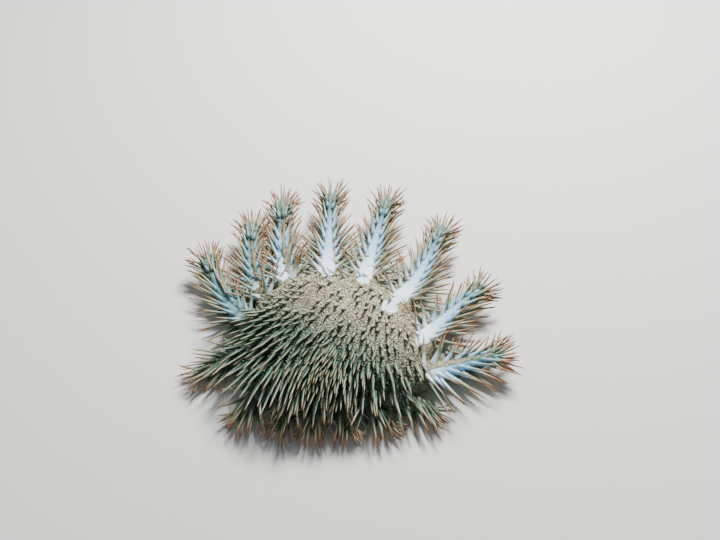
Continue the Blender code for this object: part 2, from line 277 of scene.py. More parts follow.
def lobe_and_groove(angle):
    # 1 at an arm's root and 0 between two arms; and 1 on the line of its groove
    gaps = [((angle - row[0] + 180.0) % 360.0) - 180.0 for row in ARMS]
    nearest = min(gaps, key=abs)
    return math.exp(-(nearest / LOBE_HALF_ANGLE) ** 2), math.exp(-(nearest / GROOVE_HALF_ANGLE) ** 2)


def disc_rings():
    rings = []
    angles = [360.0 * i / DISC_COLUMNS for i in range(DISC_COLUMNS)]
    shapes = [lobe_and_groove(a) for a in angles]
    profile = through(DISC_PROFILE, SUBSTEPS)[1:-1]
    for index, (part, level) in enumerate(profile):
        ring = []
        for angle, (lobe, groove) in zip(angles, shapes):
            reach = outline(angle) * part * (1.0 + LOBE * (lobe - 0.5) * ease(0.5, 1.0, part))
            p = heading(angle) * reach
            p.z = DISC_BOTTOM + DISC_HEIGHT * level + TILT * p.y * level
            if index > len(profile) * UNDER_FROM:
                p.z += GROOVE_DEPTH * groove * ease(0.12, 0.25, part)
            ring.append(tuple(p))
        rings.append(ring)
    return rings


points, faces = [], []
loft(disc_rings(), faces, points)
print("disc points:", len(points))

# %% [markdown]
# An arm is flat below and rounded above. Its section follows the middle line, and near the tip the rings
# shrink along a rounded curve, so that the arm closes bluntly, as the real one does.

# %% Arms
# Half section: part of the half width, part of the height
SECTION = ((0.0, 0.15), (0.26, 0.0), (0.86, 0.0), (1.0, 0.42), (0.76, 0.80), (0.32, 0.985), (0.0, 1.0))
SECTION_SUBSTEPS = 3
BODY_STATIONS = 30
TIP_STATIONS = (0.3, 0.55, 0.75, 0.88, 0.96)
TIP_FROM, TIP_PART = 0.9, 0.1
TIP_OVERHANG, TIP_END = 1.5, 1.6


def arm_rings(line):
    other_half = tuple((-u, v) for u, v in SECTION[-2:0:-1])
    section = through(SECTION + other_half, SECTION_SUBSTEPS, closed=True)
    tip_from, tip_part = line.length * TIP_FROM, line.length * TIP_PART
    rings = []
    stations = list(np.linspace(ROOT_START, tip_from, BODY_STATIONS))
    stations += list(tip_from + (tip_part + TIP_OVERHANG) * np.array(TIP_STATIONS))
    for d in stations:
        p, ahead, side, width, bottom, ridge = line.at(d)
        x = max(0.0, (d - tip_from) / (tip_part + TIP_END))
        scale = math.sqrt(1.0 - x ** 3)
        middle = lerp(bottom, ridge, 0.5)
        ring = []
        for u, v in section:
            q = p + side * (u * width * scale)
            ring.append((q.x, q.y, middle + (lerp(bottom, ridge, v) - middle) * scale))
        rings.append(ring)
    return rings


for line in arm_lines:
    loft(arm_rings(line), faces, points)
print("points with the arms:", len(points))

# %% [markdown]
# The Remesh modifier wraps the overlapping forms in one even net of small quads. A Smooth modifier then
# rounds the creases where an arm leaves the disc. Both are applied by reading the evaluated mesh, since
# the later steps measure the finished surface. Points below the floor are laid on it.

# %% One skin
VOXEL = 1.35
SMOOTH_STEPS = 5

mesh = bpy.data.meshes.new("skin")
mesh.from_pydata([(Vector(p) - MIDDLE) * MM for p in points], [], faces)
bm = bmesh.new()
bm.from_mesh(mesh)
bmesh.ops.recalc_face_normals(bm, faces=bm.faces)
bm.to_mesh(mesh)
bm.free()
skin = new_object("skin", mesh)
remesh = skin.modifiers.new("Net", "REMESH")
remesh.mode = "VOXEL"
remesh.voxel_size = VOXEL * MM
soften = skin.modifiers.new("Soften", "SMOOTH")
soften.factor = 0.5
soften.iterations = SMOOTH_STEPS
mesh = bpy.data.meshes.new_from_object(skin.evaluated_get(bpy.context.evaluated_depsgraph_get()))
skin.modifiers.clear()
skin.data = mesh
for vert in mesh.vertices:
    vert.co.z = max(vert.co.z, 0.0)
mesh.update()
mesh.shade_smooth()
print("skin faces:", len(mesh.polygons))

# %% [markdown]
# Colour on this animal follows its anatomy: pale blue bands run down the middle of each arm and fade to
# teal at the tip. So each point of the skin is told how far along an arm it is, how near the band, and
# whether it faces down. A band may run beside its ridge or start late, and a few pale patches lie on the
# rim of the disc.

# %% Where the markings lie
BAND_AT_ROOT, BAND_AT_TIP = 0.52, 0.36
NEAR_ARM_BAND = 0.05
# Of a band: shift from the ridge in half widths, start as a part of the arm; then the arms that differ
BAND_MIDDLE = (0.0, -0.09)
BAND_BESIDE = {1: (-0.1, 0.02), 2: (-0.28, 0.14), 3: (-0.34, -0.02), 8: (0.60, 0.08)}
# Arm, distance along its line, radius
PATCHES = ((4, -12.0, 6.0), (5, -14.0, 7.0), (6, -26.0, 8.5), (6, -13.0, 4.4), (7, -9.0, 5.5))
BLOCK = 4000


def anatomy(places, normals):
    # Nearest sample of any arm's middle line, and what it says about each place
    tables = np.concatenate([line.table for line in arm_lines])
    strength = np.array([NEAR_ARM_BAND if line.near else 1.0 for line in arm_lines])
    beside = np.array([BAND_BESIDE.get(i, BAND_MIDDLE) for i in range(len(arm_lines))])
    nearest = np.zeros(len(places), dtype=int)
    for start in range(0, len(places), BLOCK):
        gaps = places[start:start + BLOCK, None, :2] - tables[None, :, :2]
        nearest[start:start + BLOCK] = np.argmin((gaps ** 2).sum(axis=2), axis=1)
    arm, row = nearest // SAMPLES, tables[nearest]
    offset = places[:, :2] - row[:, :2]
    across = (offset[:, 0] * row[:, 3] - offset[:, 1] * row[:, 2]) / row[:, 4]
    forward = (offset[:, 0] * row[:, 2] + offset[:, 1] * row[:, 3]) / row[:, 4]
    s = row[:, 7]
    beside_line = smoothstep(1.0, 0.2, np.abs(forward))
    on_arm = beside_line * smoothstep(-0.16, -0.02, s)
    up = smoothstep(0.1, 0.5, normals[:, 2])
    band_half = BAND_AT_ROOT + (BAND_AT_TIP - BAND_AT_ROOT) * np.clip(s * 2.0, 0.0, 1.0)
    shift, start = beside[arm].T
    band = np.exp(-((across - shift) / band_half) ** 4) * beside_line
    band *= smoothstep(-0.07, 0.07, s - start) * strength[arm]
    for owner, d, radius in PATCHES:
        middle = arm_lines[owner].at(d)[0]
        away = np.hypot(places[:, 0] - middle.x, places[:, 1] - middle.y)
        band = np.maximum(band, np.exp(-(away / radius) ** 4))
    below = smoothstep(-0.2, -0.75, normals[:, 2])
    return {"band": band * up, "tipward": np.clip(s, 0.0, 1.0) * on_arm, "below": below}


print("arms with their own band:", len(BAND_BESIDE), "patches:", len(PATCHES))

# %% [markdown]
# The numbers are stored on the mesh as attributes, which the materials can read. The finished skin also
# goes into a search tree, so that whatever grows on it can find its nearest face.

# %% Markings as attributes
def put_attribute(mesh, name, values):
    layer = mesh.attributes.new(name, "FLOAT", "POINT")
    layer.data.foreach_set("value", np.asarray(values, dtype=np.float32))


flat = np.empty(len(mesh.vertices) * 3)
mesh.vertices.foreach_get("co", flat)
skin_places = flat.reshape(-1, 3) / MM + np.array(MIDDLE)
normals = np.empty(len(mesh.vertices) * 3)
mesh.vertex_normals.foreach_get("vector", normals)
skin_anatomy = anatomy(skin_places, normals.reshape(-1, 3))
for name, values in skin_anatomy.items():
    put_attribute(mesh, name, values)
skin_tree = BVHTree.FromPolygons(
    [Vector(p) for p in skin_places], [tuple(poly.vertices) for poly in mesh.polygons],
)
first_corner = [poly.vertices[0] for poly in mesh.polygons]
print("share of the skin that is pale band:", round(float(np.mean(skin_anatomy["band"] > 0.5)), 3))

# %% [markdown]
# The spines are the mark of this species. Each is a tapering rod with three low keels, in a sleeve of skin
# that flares where it leaves the body. Gills and tube feet are rods too, of other profiles. Thousands of
# them could be instances, but the export drops those, so each kind is written into one mesh by arithmetic
# on arrays: the same small profile, set at each root, along its axis.

# %% Points of many rods
KEEL_GROWS = (0.08, 0.45)


def rod_points(root, axis, bend, length, radius, profile, sides, keels):
    # Profile: part of the length, part of the radius; the last one is the tip
    # Keels: how far every second corner draws in, which leaves the others standing
    helper = np.where(np.abs(axis[:, 2:3]) < 0.8, np.array([[0.0, 0.0, 1.0]]), np.array([[1.0, 0.0, 0.0]]))
    side = np.cross(axis, helper)
    side /= np.linalg.norm(side, axis=1)[:, None]
    turn = (np.arange(sides) * 2.0 * np.pi / sides)[None, :, None]
    circle = side[:, None, :] * np.cos(turn) + np.cross(axis, side)[:, None, :] * np.sin(turn)
    odd = np.arange(sides) % 2
    rings, along, keel = [], [], []
    for at, wide in profile[:-1]:
        grown = ease(*KEEL_GROWS, at)
        middle = root + axis * (length * at)[:, None] + bend * (length * max(at, 0.0) ** 2)[:, None]
        drawn_in = (1.0 - keels * grown * odd)[None, :, None]
        rings.append(middle[:, None, :] + circle * (radius * wide)[:, None, None] * drawn_in)
        along += [max(at, 0.0)] * sides
        keel += list((1 - odd) * grown)
    tip = root + axis * length[:, None] + bend * length[:, None]
    rings.append(tip[:, None, :])
    return np.concatenate(rings, axis=1), along + [1.0], keel + [0.5]


print("keels grow between:", KEEL_GROWS)

# %% [markdown]
# All rods of a kind share one pattern of faces. Each face corner also notes its turn round the rod and
# its level along it, for a small patch on the texture map.

# %% Faces of a rod
def rod_faces(profile, sides):
    faces, corners = [], []
    levels = len(profile) - 1
    for i in range(levels - 1):
        a, b = profile[i][0], profile[i + 1][0]
        for k in range(sides):
            m = (k + 1) % sides
            faces.append((i * sides + k, i * sides + m, (i + 1) * sides + m, (i + 1) * sides + k))
            corners += [(k, a), (k + 1, a), (k + 1, b), (k, b)]
    last, level = (levels - 1) * sides, profile[-2][0]
    for k in range(sides):
        faces.append((last + k, last + (k + 1) % sides, levels * sides))
        corners += [(k, level), (k + 1, level), (k + 0.5, 1.0)]
    faces.append(tuple(range(sides))[::-1])
    corners += [(k, profile[0][0]) for k in range(sides)][::-1]
    return faces, np.array(corners)


print("faces of a short rod:", len(rod_faces(((0, 1), (0.5, 1), (1, 0)), 5)[0]))

# %% [markdown]
# One small class gathers the rods of a kind and writes their mesh. A rod takes the markings of the skin
# at its root, so that the colours run on, and a number of its own for small differences. Its patch on
# the texture map lies where its root is seen from above.

# %% Many small forms in one mesh
MAP_WIDE = 380.0
PATCH = 0.003


class Growths:
    def __init__(self):
        self.rods = []

    def add(self, root, axis, length, radius, bend=(0.0, 0.0, 0.0), pale=0.0):
        self.rods.append((*root, *axis, *bend, length, radius, pale, rng.random()))

    def write(self, name, profile, sides, keels=0.0):
        rods = np.array(self.rods)
        root, axis, bend = rods[:, 0:3], rods[:, 3:6], rods[:, 6:9]
        length, radius, pale, tone = rods[:, 9:13].T
        places, along, keel = rod_points(root, axis, bend, length, radius, profile, sides, keels)
        faces, corners = rod_faces(profile, sides)
        count, per = len(rods), len(along)
        mesh = bpy.data.meshes.new(name)
        everything = [tuple(v + i * per for v in face) for i in range(count) for face in faces]
        mesh.from_pydata(((places.reshape(-1, 3) - np.array(MIDDLE)) * MM).tolist(), [], everything)
        put_attribute(mesh, "along", np.tile(along, count))
        put_attribute(mesh, "tone", np.repeat(tone, per))
        if keels:
            put_attribute(mesh, "keel", np.tile(keel, count))
        roots_on = [first_corner[skin_tree.find_nearest(Vector(r))[2]] for r in root]
        for key, values in skin_anatomy.items():
            held = np.maximum(values[roots_on], pale) if key == "band" else values[roots_on]
            put_attribute(mesh, key, np.repeat(held, per))
        spot = root[:, :2] / MAP_WIDE + 0.5 - np.array(MIDDLE)[None, :2] / MAP_WIDE
        patch = np.stack([corners[:, 0] / sides, np.clip(corners[:, 1], 0.0, 1.0)], axis=1) - 0.5
        uv = (spot[:, None, :] + patch[None, :, :] * PATCH).reshape(-1, 2)
        layer = mesh.uv_layers.new(name="OFBake")
        layer.data.foreach_set("uv", uv.astype(np.float32).reshape(-1))
        mesh.shade_smooth()
        print(name, "forms:", count, "triangles:", sum(len(p.vertices) - 2 for p in mesh.polygons))
        return new_object(name, mesh)


print("patch on the map in mm:", MAP_WIDE * PATCH)

# %% [markdown]
# A spine starts below the skin, flares in its sleeve, and then tapers to a sharp point. Six corners, of
# which every second one draws in, make the three keels. A spine that would reach the floor is lifted and
# shortened step by step, and each has a slight bow.

# %% One spine
SPINE_PROFILE = (
    (-0.16, 0.6), (-0.08, 1.2), (0.01, 1.25), (0.07, 1.02), (0.15, 0.85), (0.38, 0.67), (0.68, 0.44),
    (0.9, 0.20), (1.0, 0.0),
)
SPINE_SIDES = 6
SPINE_KEELS = 0.36
SPINE_R = 2.35
FLOOR_CLEARANCE = 0.8
LIFT_STEPS, LIFT, SHORTENING = 24, 0.1, 0.97
BOW, SAG = 0.05, 0.02
DOWN_BY_BOW = BOW + SAG


def jitter(amount):
    return Vector([rng.uniform(-amount, amount) for i in range(3)])


def grow_spine(growths, root, axis, length, thick=1.0, pale=0.0):
    for attempt in range(LIFT_STEPS):
        if root.z + (axis.z - DOWN_BY_BOW) * length > FLOOR_CLEARANCE:
            break
        axis = (axis + Vector((0.0, 0.0, LIFT))).normalized()
        length *= SHORTENING
    bow = jitter(BOW) + Vector((0.0, 0.0, -SAG))
    growths.add(root, axis, length, SPINE_R * thick * rng.uniform(0.85, 1.1), bow, pale)


def write_spines(growths, name):
    return growths.write(name, SPINE_PROFILE, SPINE_SIDES, SPINE_KEELS)


print("widest spine in mm:", round(2 * SPINE_R * 1.25, 1))

# %% [markdown]
# On the disc the spines change from one side to the other. Toward the far right they are short, wide
# apart and lean a little. Toward the near left they are long, close together and all lean the same way,
# as if combed. One number, how near-left a root lies, drives length, lean and spacing. The roots are
# spread evenly by the golden angle, and a last row stands on the near flank, between the arms' roots.

# %% Disc spines
DISC_SPINES = 450
GOLDEN_ANGLE = 137.508
DISC_EDGE = 0.975
NEAR_LEFT = (0.45, 0.89)
GROWS, COMBS = (-0.30, 0.72), (-0.30, 0.15)
FAR_SHARE = 0.43
SHORT_SPINE, LONG_SPINE = 13.0, 29.0
SHORT_LEAN, LONG_LEAN = 0.80, 1.40
SHORT_THICK = 0.92
RIM_FROM, RIM_LONGER = 0.78, 0.22
FLANK_FROM, FLANK_STEP, FLANK_SPINES = 98.0, 3.6, 38
FLANK_LOW, FLANK_HIGH = 19.0, 33.0
FLANK_LEAN, FLANK_SPINE = 1.3, 25.0
FLANK_BARRED = 1.03
LEAN_ANGLE, LEAN_PER_X, LEAN_PER_Y = 249.0, 0.12, -0.34
HIGH_ABOVE = 200.0


def combed(p):
    a = math.radians(LEAN_ANGLE + LEAN_PER_X * p.x + LEAN_PER_Y * p.y)
    return Vector((math.cos(a), math.sin(a), 0.0))


def seen_from_above(p):
    # Where the skin is met on the way down, and its normal there
    hit, normal, face, away = skin_tree.ray_cast(Vector((p.x, p.y, HIGH_ABOVE)), Vector((0.0, 0.0, -1.0)))
    return hit, normal


disc_growths = Growths()
for i in range(DISC_SPINES):
    angle = i * GOLDEN_ANGLE
    part = math.sqrt((i + 0.5) / DISC_SPINES)
    p = heading(angle) * (outline(angle % 360.0) * DISC_EDGE * part) + jitter(0.8)
    reach = -(NEAR_LEFT[0] * p.x + NEAR_LEFT[1] * p.y) / DISC_R
    grow, comb = ease(*GROWS, reach), ease(*COMBS, reach)
    if rng.random() > lerp(FAR_SHARE, 1.0, comb):
        continue
    hit, normal = seen_from_above(p)
    lean = combed(p) * lerp(SHORT_LEAN, LONG_LEAN, comb)
    axis = (normal + lean + jitter(0.17)).normalized()
    long = lerp(SHORT_SPINE, LONG_SPINE, grow) * rng.uniform(0.80, 1.13)
    long *= 1.0 + RIM_LONGER * ease(RIM_FROM, 1.0, part) * comb
    grow_spine(disc_growths, hit, axis, long, lerp(SHORT_THICK, 1.0, comb))
for i in range(FLANK_SPINES):
    angle = FLANK_FROM + FLANK_STEP * i
    inside = Vector((0.0, 0.0, rng.uniform(FLANK_LOW, FLANK_HIGH)))
    hit, normal, face, away = skin_tree.ray_cast(inside, heading(angle))
    if hit is not None and away < FLANK_BARRED * outline(angle):
        axis = (normal + combed(hit) * FLANK_LEAN + jitter(0.15)).normalized()
        grow_spine(disc_growths, hit, axis, FLANK_SPINE * rng.uniform(0.8, 1.15))
disc_spines = write_spines(disc_growths, "disc_spines")

# %% [markdown]
# An arm carries its spines in rows down both flanks and leaves its ridge bare. Three arms have one more
# row that lies across them, one lets its near spines hang over its side, and the drawn-in arms turn
# theirs with the disc's combing, but for the first, which lies free.

# %% Rows down the arms
# Angle from the ridge, lean outward, upward and forward, length
FAR_ROWS = (
    (32.0, 0.50, 0.50, 0.90, 30.0),
    (56.0, 0.78, 0.32, 0.85, 34.0),
    (80.0, 0.98, 0.10, 0.78, 34.0),
    (102.0, 0.98, -0.10, 0.70, 30.0),
)
NEAR_ROWS = (
    (24.0, 0.22, 0.06, 0.95, 31.0),
    (56.0, 0.48, -0.06, 0.90, 30.0),
    (88.0, 0.66, -0.12, 0.85, 27.0),
)
CROSSED_ARMS = (1, 2, 3)
CROSSING_ROW = (14.0, 0.16, 0.42, 0.95, 33.0)
HANGING_ARM, HANGING_LONGER, HANGING_COMBED = 8, 1.18, 0.35
FREE_ARM, NEAR_COMBED = 0, 0.7
ROW_STEP, NEAR_ROW_STEP = 12.0, 8.5
ROW_START, ROW_STAGGER = 0.15, 0.5
FORWARD_AT_ROOT, FORWARD_AT_TIP = 0.32, 1.15
SHORT_AT_TIP, THIN_AT_TIP = 0.90, 0.82
FARTHEST = 1.5
print("rows on each flank:", len(FAR_ROWS), "and on a near arm:", len(NEAR_ROWS))

# %% [markdown]
# Each root is found by looking outward from inside the arm until the skin is met, so it always sits on
# the surface. The spines lean outward and toward the tip, more so the nearer they are to it.

# %% Spines down the flanks
def arm_middle(p, bottom, ridge):
    return p + Vector((0.0, 0.0, lerp(bottom, ridge, 0.5)))


def on_skin(middle, way, farthest):
    hit, normal, face, away = skin_tree.ray_cast(middle, way.normalized())
    return None if hit is None or away > farthest else hit


def on_flank(spot, sign, angle):
    # Where the skin is met on the way out of an arm, at an angle from its ridge, and that way
    p, ahead, side, width, bottom, ridge = spot
    a = math.radians(angle)
    way = side * (sign * math.sin(a) * width) + Vector((0.0, 0.0, math.cos(a) * (ridge - bottom) * 0.5))
    return on_skin(arm_middle(p, bottom, ridge), way, FARTHEST * width), way


def flank_spines(number, line, growths):
    rows = NEAR_ROWS if line.near else FAR_ROWS
    if number in CROSSED_ARMS:
        rows = rows + (CROSSING_ROW,)
    count = max(3, round(line.length / (NEAR_ROW_STEP if line.near else ROW_STEP)))
    stations = [(i, sign, index) for i in range(count) for sign in (-1.0, 1.0) for index in range(len(rows))]
    for i, sign, index in stations:
        if index == len(FAR_ROWS) and sign < 0.0:
            continue
        angle, out, up, forward, long = rows[index]
        d = line.length * (i + ROW_START + ROW_STAGGER * (index % 2) + rng.uniform(-0.12, 0.12)) / count
        spot = line.at(d)
        ahead, side = spot[1:3]
        root, way = on_flank(spot, sign, angle + rng.uniform(-5.0, 5.0))
        if root is None:
            continue
        if line.near and number != FREE_ARM:
            ahead = ahead.lerp(combed(root), NEAR_COMBED).normalized()
        part = d / line.length
        lean = forward * lerp(FORWARD_AT_ROOT, 1.0, ease(0.0, 0.5, part))
        lean += FORWARD_AT_TIP * ease(0.25, 0.95, part)
        axis = side * (out * sign) + ahead * lean + Vector((0.0, 0.0, up)) + jitter(0.13)
        reach = long * lerp(1.0, SHORT_AT_TIP, ease(0.5, 1.0, part)) * rng.uniform(0.88, 1.1)
        if number == HANGING_ARM and sign > 0.0:
            reach *= HANGING_LONGER
            axis = axis + combed(root) * HANGING_COMBED
        thick = lerp(1.0, THIN_AT_TIP, ease(0.3, 1.0, part))
        pale = 1.0 if index == 0 and not line.near else 0.0
        grow_spine(growths, root, axis.normalized(), reach, thick, pale)


print("arms with a crossing row:", CROSSED_ARMS)

# %% [markdown]
# At the tip of an arm the spines close into a brush. Three fans, one behind the other, make it, and within
# a fan the spines rise by turns to three heights, so that the brush is full from every side.

# %% Brushes at the tips
# Part of the length, count, spread to each side
TIP_FANS = ((0.78, 6, 46.0), (0.87, 9, 54.0), (0.95, 13, 62.0))
NEAR_TIP_FANS = ((0.80, 4, 30.0), (0.95, 6, 42.0))
TIP_RISES = (0.35, -0.05, 0.65)
NEAR_TIP_RISE = 0.3
TIP_SPINE, NEAR_TIP_SPINE = 25.0, 24.0
NEAR_TIP_COMBED = 0.42
TIP_FARTHEST = 3.0


def tip_spines(number, line, growths):
    for at, count, spread in NEAR_TIP_FANS if line.near else TIP_FANS:
        p, ahead, side, width, bottom, ridge = line.at(line.length * at)
        middle = arm_middle(p, bottom, ridge)
        if line.near and number != FREE_ARM:
            ahead = ahead.lerp(combed(p), NEAR_TIP_COMBED).normalized()
            side = to_the_right(ahead)
        for i in range(count):
            turn = math.radians(lerp(-spread, spread, i / (count - 1)))
            flat = ahead * math.cos(turn) + side * math.sin(turn)
            rise = TIP_RISES[i % 3] * (NEAR_TIP_RISE if line.near else 1.0)
            root = on_skin(middle, flat + Vector((0.0, 0.0, rise)), TIP_FARTHEST * width)
            if root is not None:
                axis = (flat + Vector((0.0, 0.0, rise * 0.8)) + jitter(0.1)).normalized()
                long = NEAR_TIP_SPINE if line.near else TIP_SPINE
                grow_spine(growths, root, axis, long * rng.uniform(0.82, 1.08), THIN_AT_TIP)


far_growths, near_growths = Growths(), Growths()
for number, line in enumerate(arm_lines):
    growths = near_growths if line.near else far_growths
    flank_spines(number, line, growths)
    tip_spines(number, line, growths)
far_arm_spines = write_spines(far_growths, "far_arm_spines")
near_arm_spines = write_spines(near_growths, "near_arm_spines")

# %% [markdown]
# Between the spines the skin is covered with papulae, small soft gills that give it a grainy look. A bump
# map alone would leave the outline of the skin too smooth, so they are real low domes, in one mesh. They
# stand closer on the disc, where they are seen best, and the pale bands stay bare.

# %% Papulae
PAPULA_SPACING, ARM_PAPULA_SPACING = 2.4, 4.0
PAPULA_EDGE = 0.985
PAPULA_PROFILE = ((-0.5, 1.0), (0.3, 0.95), (0.75, 0.6), (1.0, 0.0))
PAPULA_SIDES = 5
ARM_PAPULA_STRIP = 16.0
ARM_PAPULA_ANGLES = (44.0, 104.0)
BARE_ABOVE = 0.35
papula_growths = Growths()


def bare(root):
    return skin_anatomy["band"][first_corner[skin_tree.find_nearest(root)[2]]] > BARE_ABOVE


disc_count = int(DISC_R * DISC_R * 2.6 / PAPULA_SPACING ** 2)
for i in range(disc_count):
    angle = i * GOLDEN_ANGLE
    reach = outline(angle % 360.0) * PAPULA_EDGE * math.sqrt((i + 0.5) / disc_count)
    hit, normal = seen_from_above(heading(angle) * reach + jitter(0.7))
    if hit is None or bare(hit):
        continue
    axis = (normal + jitter(0.2)).normalized()
    papula_growths.add(hit, axis, rng.uniform(0.5, 1.2), rng.uniform(0.55, 1.15))
for line in arm_lines:
    count = int(line.length * ARM_PAPULA_STRIP / ARM_PAPULA_SPACING ** 2)
    for i, sign in [(i, sign) for i in range(count) for sign in (-1.0, 1.0)]:
        spot = line.at(line.length * (i + rng.random()) / count)
        root, way = on_flank(spot, sign, rng.uniform(*ARM_PAPULA_ANGLES))
        if root is not None and not bare(root):
            axis = (way.normalized() + jitter(0.2)).normalized()
            papula_growths.add(root, axis, rng.uniform(0.6, 1.1), rng.uniform(0.6, 1.0))
papulae = papula_growths.write("papulae", PAPULA_PROFILE, PAPULA_SIDES)

# %% [markdown]
# Under each arm a groove runs out from the mouth, with two rows of tube feet that end in flat suckers.
# They hold the animal on the ground. They are built the same way as the spines, with a profile that
# widens at the end, and each is as long as the way from its groove down to the floor.

# %% Tube feet
FOOT_STEP = 3.4
FOOT_R = 1.25
FOOT_SIDES = 7
FOOT_PROFILE = (
    (-0.3, 0.8), (0.1, 0.72), (0.6, 0.68), (0.84, 0.75), (0.92, 1.0), (0.999, 0.95), (1.0, 0.0),
)
SHORTEST_FOOT = 0.8
FEET_START, FEET_END = -2.0, 0.96
# Half the gap between the two rows, as a part of the arm's half width, and how far one row runs ahead
FOOT_BESIDE, FOOT_AHEAD = 0.13, 0.8
FOOT_BELOW_TIP = 4.5
DISC_FEET, DISC_FEET_REACH, DISC_FOOT_BESIDE = 16, (0.2, 0.9), 1.5
LOW_BELOW = -5.0
foot_growths = Growths()


def seen_from_below(p):
    return skin_tree.ray_cast(Vector((p.x, p.y, LOW_BELOW)), Vector((0.0, 0.0, 1.0)))[0]


def tube_foot(p, lowest):
    hit = seen_from_below(p)
    if hit is not None and hit.z - lowest >= SHORTEST_FOOT:
        foot_growths.add(hit, (0.0, 0.0, -1.0), hit.z - lowest, FOOT_R * rng.uniform(0.85, 1.05))


for row, line in zip(ARMS, arm_lines):
    d = FEET_START
    while d < line.length * FEET_END:
        p, ahead, side, width, bottom, ridge = line.at(d)
        for sign in (-1.0, 1.0):
            q = p + side * (sign * FOOT_BESIDE * width) + ahead * (FOOT_AHEAD * sign)
            tube_foot(q, max(0.0, bottom - FOOT_BELOW_TIP))
        d += FOOT_STEP
    out = heading(row[0])
    for k in range(DISC_FEET):
        q = out * (outline(row[0]) * lerp(*DISC_FEET_REACH, (k + 0.5) / DISC_FEET))
        for sign in (-1.0, 1.0):
            tube_foot(q + to_the_right(out) * (DISC_FOOT_BESIDE * sign), 0.0)
tube_feet = foot_growths.write("tube_feet", FOOT_PROFILE, FOOT_SIDES)

# %% [markdown]
# Short blunt spines guard the grooves and close over the mouth. They are only seen from below, but a
# reusable model is turned over sooner or later, so they are made too.

# %% Mouth and groove spines
GUARD_PROFILE = ((-0.2, 1.0), (0.1, 1.0), (0.7, 0.85), (0.95, 0.5), (1.0, 0.0))
GUARD_SIDES = 6
GUARDS, GUARD_REACH, GUARD_BESIDE = 12, (0.22, 0.86), (3.6, 5.2)
GUARD_LENGTH, GUARD_R, GUARD_LEAN = 4.6, 0.95, 0.7
MOUTH_ANGLE, MOUTH_REACH = 6.0, 0.175
MOUTH_LENGTH, MOUTH_R, MOUTH_DROP = 6.5, 1.1, 0.8
guard_growths = Growths()


def guard_spine(p, lean, length, radius):
    hit = seen_from_below(p)
    if hit is not None:
        guard_growths.add(hit, (lean + jitter(0.1)).normalized(), length, radius)


for row in ARMS:
    out = heading(row[0])
    side = to_the_right(out)
    for k in range(GUARDS):
        reach = outline(row[0]) * lerp(*GUARD_REACH, (k + 0.5) / GUARDS)
        for sign in (-1.0, 1.0):
            p = out * reach + side * (sign * lerp(*GUARD_BESIDE, k / (GUARDS - 1)))
            guard_spine(p, Vector((0.0, 0.0, -1.0)) + side * (GUARD_LEAN * sign), GUARD_LENGTH, GUARD_R)
    for sign in (-1.0, 1.0):
        a = row[0] + MOUTH_ANGLE * sign
        lean = Vector((0.0, 0.0, -MOUTH_DROP)) - heading(a)
        guard_spine(heading(a) * (outline(a) * MOUTH_REACH), lean, MOUTH_LENGTH, MOUTH_R)
mouth_spines = guard_growths.write("mouth_spines", GUARD_PROFILE, GUARD_SIDES)

# %% [markdown]
# Materials are written as sums on the body's own numbers. A small class wraps a node's socket so that an
# expression such as 1 - mask adds the right Math node.

# %% Shader sums
class Wire:
    def __init__(self, paint, socket):
        self.paint, self.socket = paint, socket

    def sum(self, operation, a, b):
        return self.paint.node("ShaderNodeMath", {"operation": operation}, {0: a, 1: b})

    def __add__(self, other):
        return self.sum("ADD", self, other)

    def __sub__(self, other):
        return self.sum("SUBTRACT", self, other)

    def __rsub__(self, other):
        return self.sum("SUBTRACT", other, self)

    def __mul__(self, other):
        return self.sum("MULTIPLY", self, other)

    def __pow__(self, other):
        return self.sum("POWER", self, other)

    __radd__ = __add__
    __rmul__ = __mul__


print("sums on a wire:", [name for name in vars(Wire) if name.startswith("__r")])

# %% [markdown]
# A second class holds one material. Every node comes from one method that takes its type, settings and
# inputs, and the others name what this animal needs: noise, cells, a soft step, a mix of colours.

